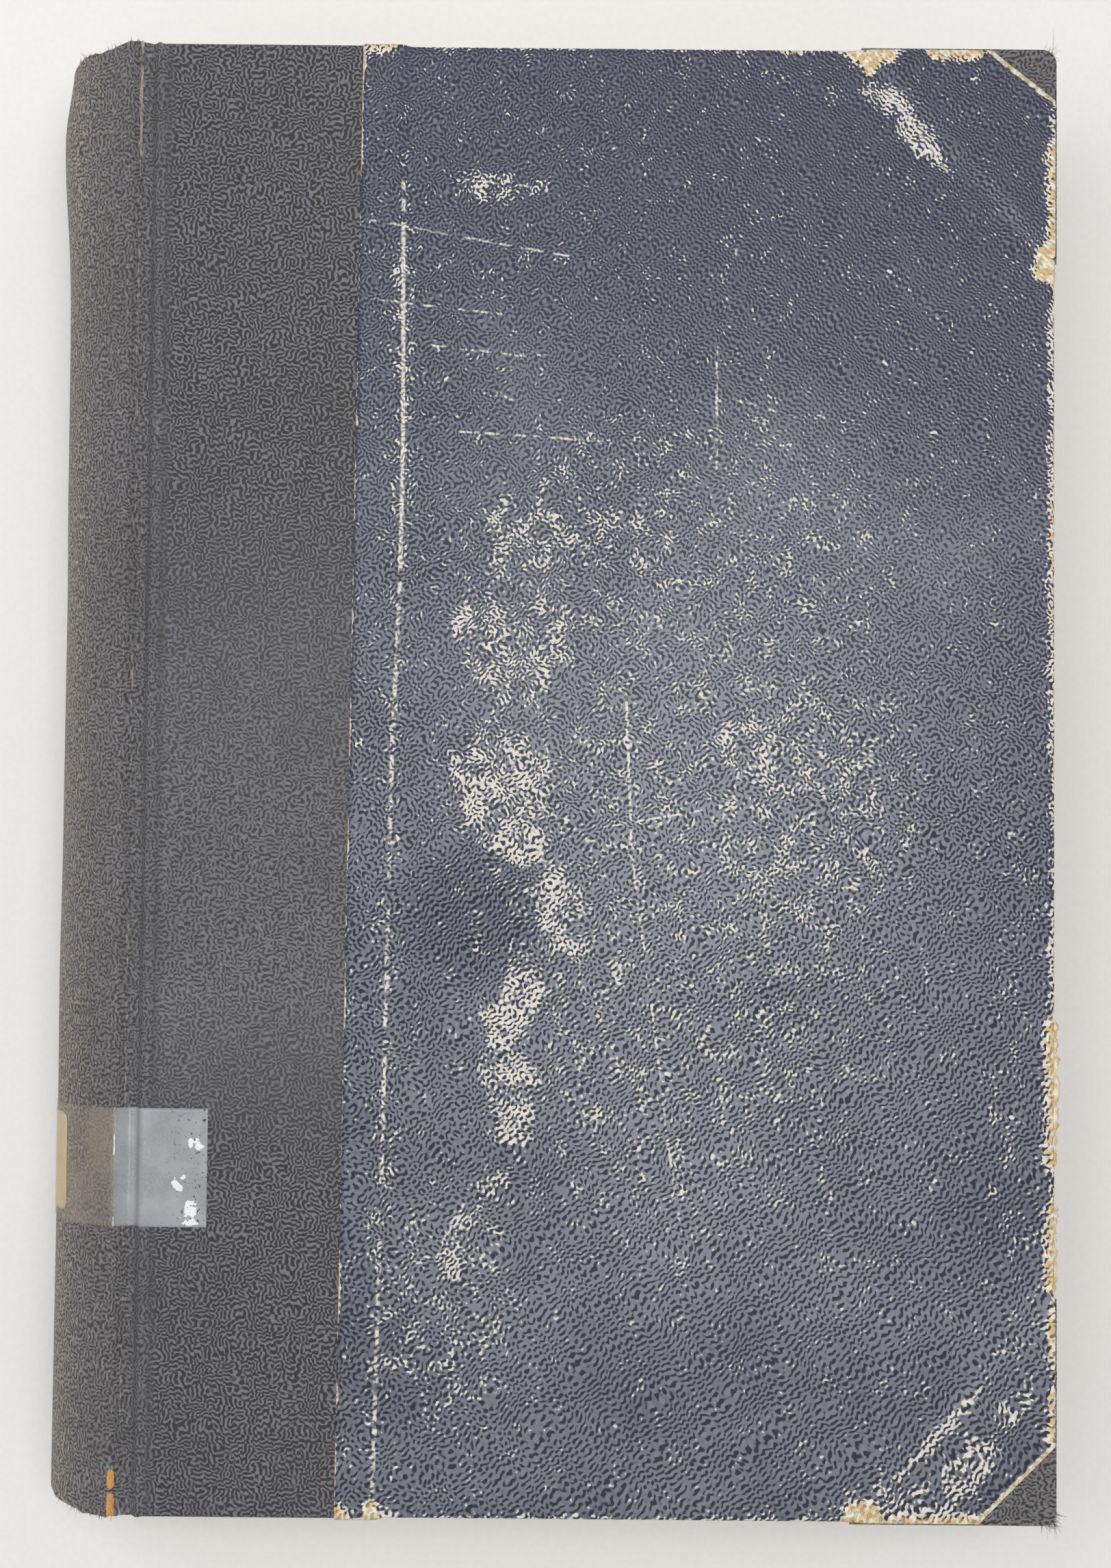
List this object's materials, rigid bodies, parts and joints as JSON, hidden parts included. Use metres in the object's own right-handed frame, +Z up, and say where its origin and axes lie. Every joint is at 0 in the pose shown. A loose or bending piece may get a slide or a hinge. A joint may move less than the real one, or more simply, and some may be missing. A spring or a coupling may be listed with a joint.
{
  "type": "book",
  "caption": "Half-cloth bound book with a rounded spine, cloth corners, leather-grained paper sides and two covers that open at the joints.",
  "frame": {"origin": "middle of the book's footprint, on the surface that the back cover lies on", "axes": "+X from the spine to the fore edge, +Y from the tail to the head, +Z up through the thickness towards the front cover"},
  "size_m": [0.165, 0.24, 0.038],
  "materials": {
    "book_cloth": "dark grey grained book cloth, faded brown on the round and rubbed to the thread on the ridges",
    "side_paper": "slate blue paper with a pressed leather grain, rubbed pale on its high spots and worn through at the edges",
    "grey_board": "pressed pulp board, tan where it shows at the worn edges",
    "page_paper": "trimmed leaf edges, cream with age",
    "endpaper": "matt cream paper",
    "mull": "open-weave starched cotton",
    "kraft": "brown kraft paper",
    "headband": "rolled natural cotton",
    "label_paper": "blank yellowed label paper",
    "clear_tape": "clear glossy film with small bubbles and creases"
  },
  "bodies": {
    "text_block": {"text_block": "page_paper", "front_flyleaf": "endpaper", "back_flyleaf": "endpaper", "spine_mull": "mull", "kraft_lining": "kraft", "headband_head": "headband", "headband_tail": "headband", "spine_inlay": "grey_board", "spine_cloth": "book_cloth", "spine_label": "label_paper", "tape_spine": "clear_tape"},
    "front_cover": {"front_board": "grey_board", "front_cloth": "book_cloth", "front_siding": "side_paper", "front_corner_head": "book_cloth", "front_corner_tail": "book_cloth", "front_mull_flange": "mull", "front_pastedown": "endpaper", "front_tape": "clear_tape"},
    "back_cover": {"back_board": "grey_board", "back_cloth": "book_cloth", "back_siding": "side_paper", "back_corner_head": "book_cloth", "back_corner_tail": "book_cloth", "back_mull_flange": "mull", "back_pastedown": "endpaper", "back_tape": "clear_tape"}
  },
  "joints": [
    {"name": "front_hinge", "type": "hinge", "parent": "text_block", "child": "front_cover", "pos_m": [-0.0669, 0, 0.038], "axis": [0, -1, 0], "range_deg": [0, 180]},
    {"name": "back_hinge", "type": "hinge", "parent": "text_block", "child": "back_cover", "pos_m": [-0.0669, 0, 0], "axis": [0, 1, 0], "range_deg": [0, 180]}
  ]
}
